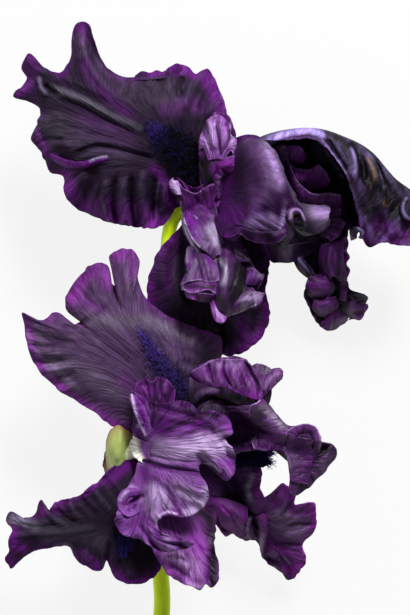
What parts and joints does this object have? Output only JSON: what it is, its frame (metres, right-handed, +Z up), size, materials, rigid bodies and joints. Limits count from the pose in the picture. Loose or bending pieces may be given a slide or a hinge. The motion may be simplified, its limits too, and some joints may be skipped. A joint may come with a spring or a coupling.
{
  "type": "bearded iris flower",
  "caption": "Cut, branched stem of bearded iris lying down, its open blooms with wide dark velvety falls, fuzzy beards, ruffled violet standards and green bracts.",
  "frame": {"origin": "middle of the footprint, on the surface that the flower lies on", "axes": "+Y from the cut end towards the upper bloom, +Z up, away from the surface, +X to the right of +Y seen from above"},
  "size_m": [0.2095, 0.309, 0.1011],
  "materials": {
    "stem_green": "smooth waxy yellow-green plant stem",
    "spathe": "soft pale green bract with a papery brown rim",
    "papery_bract": "dry brown papery tissue",
    "fall": "black-purple velvety petal with a grey sheen, fine veins and a brighter purple edge",
    "standard": "satin violet petal with fine darker veins and a pale base",
    "style_arm": "pale orchid satin tissue with dark creases",
    "beard": "soft blue-violet hairs"
  },
  "bodies": {
    "root": {"stem": "stem_green", "branch": "stem_green", "upper_tube": "stem_green", "lower_tube": "stem_green", "upper_spathe": "spathe", "lower_spathe": "spathe", "lower_paper_bract": "papery_bract", "upper_fall_front": "fall", "upper_fall_low": "fall", "upper_fall_back": "fall", "lower_fall_top": "fall", "lower_fall_left": "fall", "lower_fall_right": "fall", "upper_standard_front": "standard", "upper_standard_low": "standard", "upper_standard_right": "standard", "lower_standard_front": "standard", "lower_standard_low": "standard", "lower_standard_right": "standard", "upper_style_front": "style_arm", "upper_style_low": "style_arm", "upper_style_right": "style_arm", "lower_style_top": "style_arm", "lower_style_right": "style_arm", "lower_style_left": "style_arm", "upper_beard_front": "beard", "upper_beard_low": "beard", "upper_beard_back": "beard", "lower_beard_top": "beard", "lower_beard_left": "beard", "lower_beard_right": "beard"}
  },
  "joints": []
}
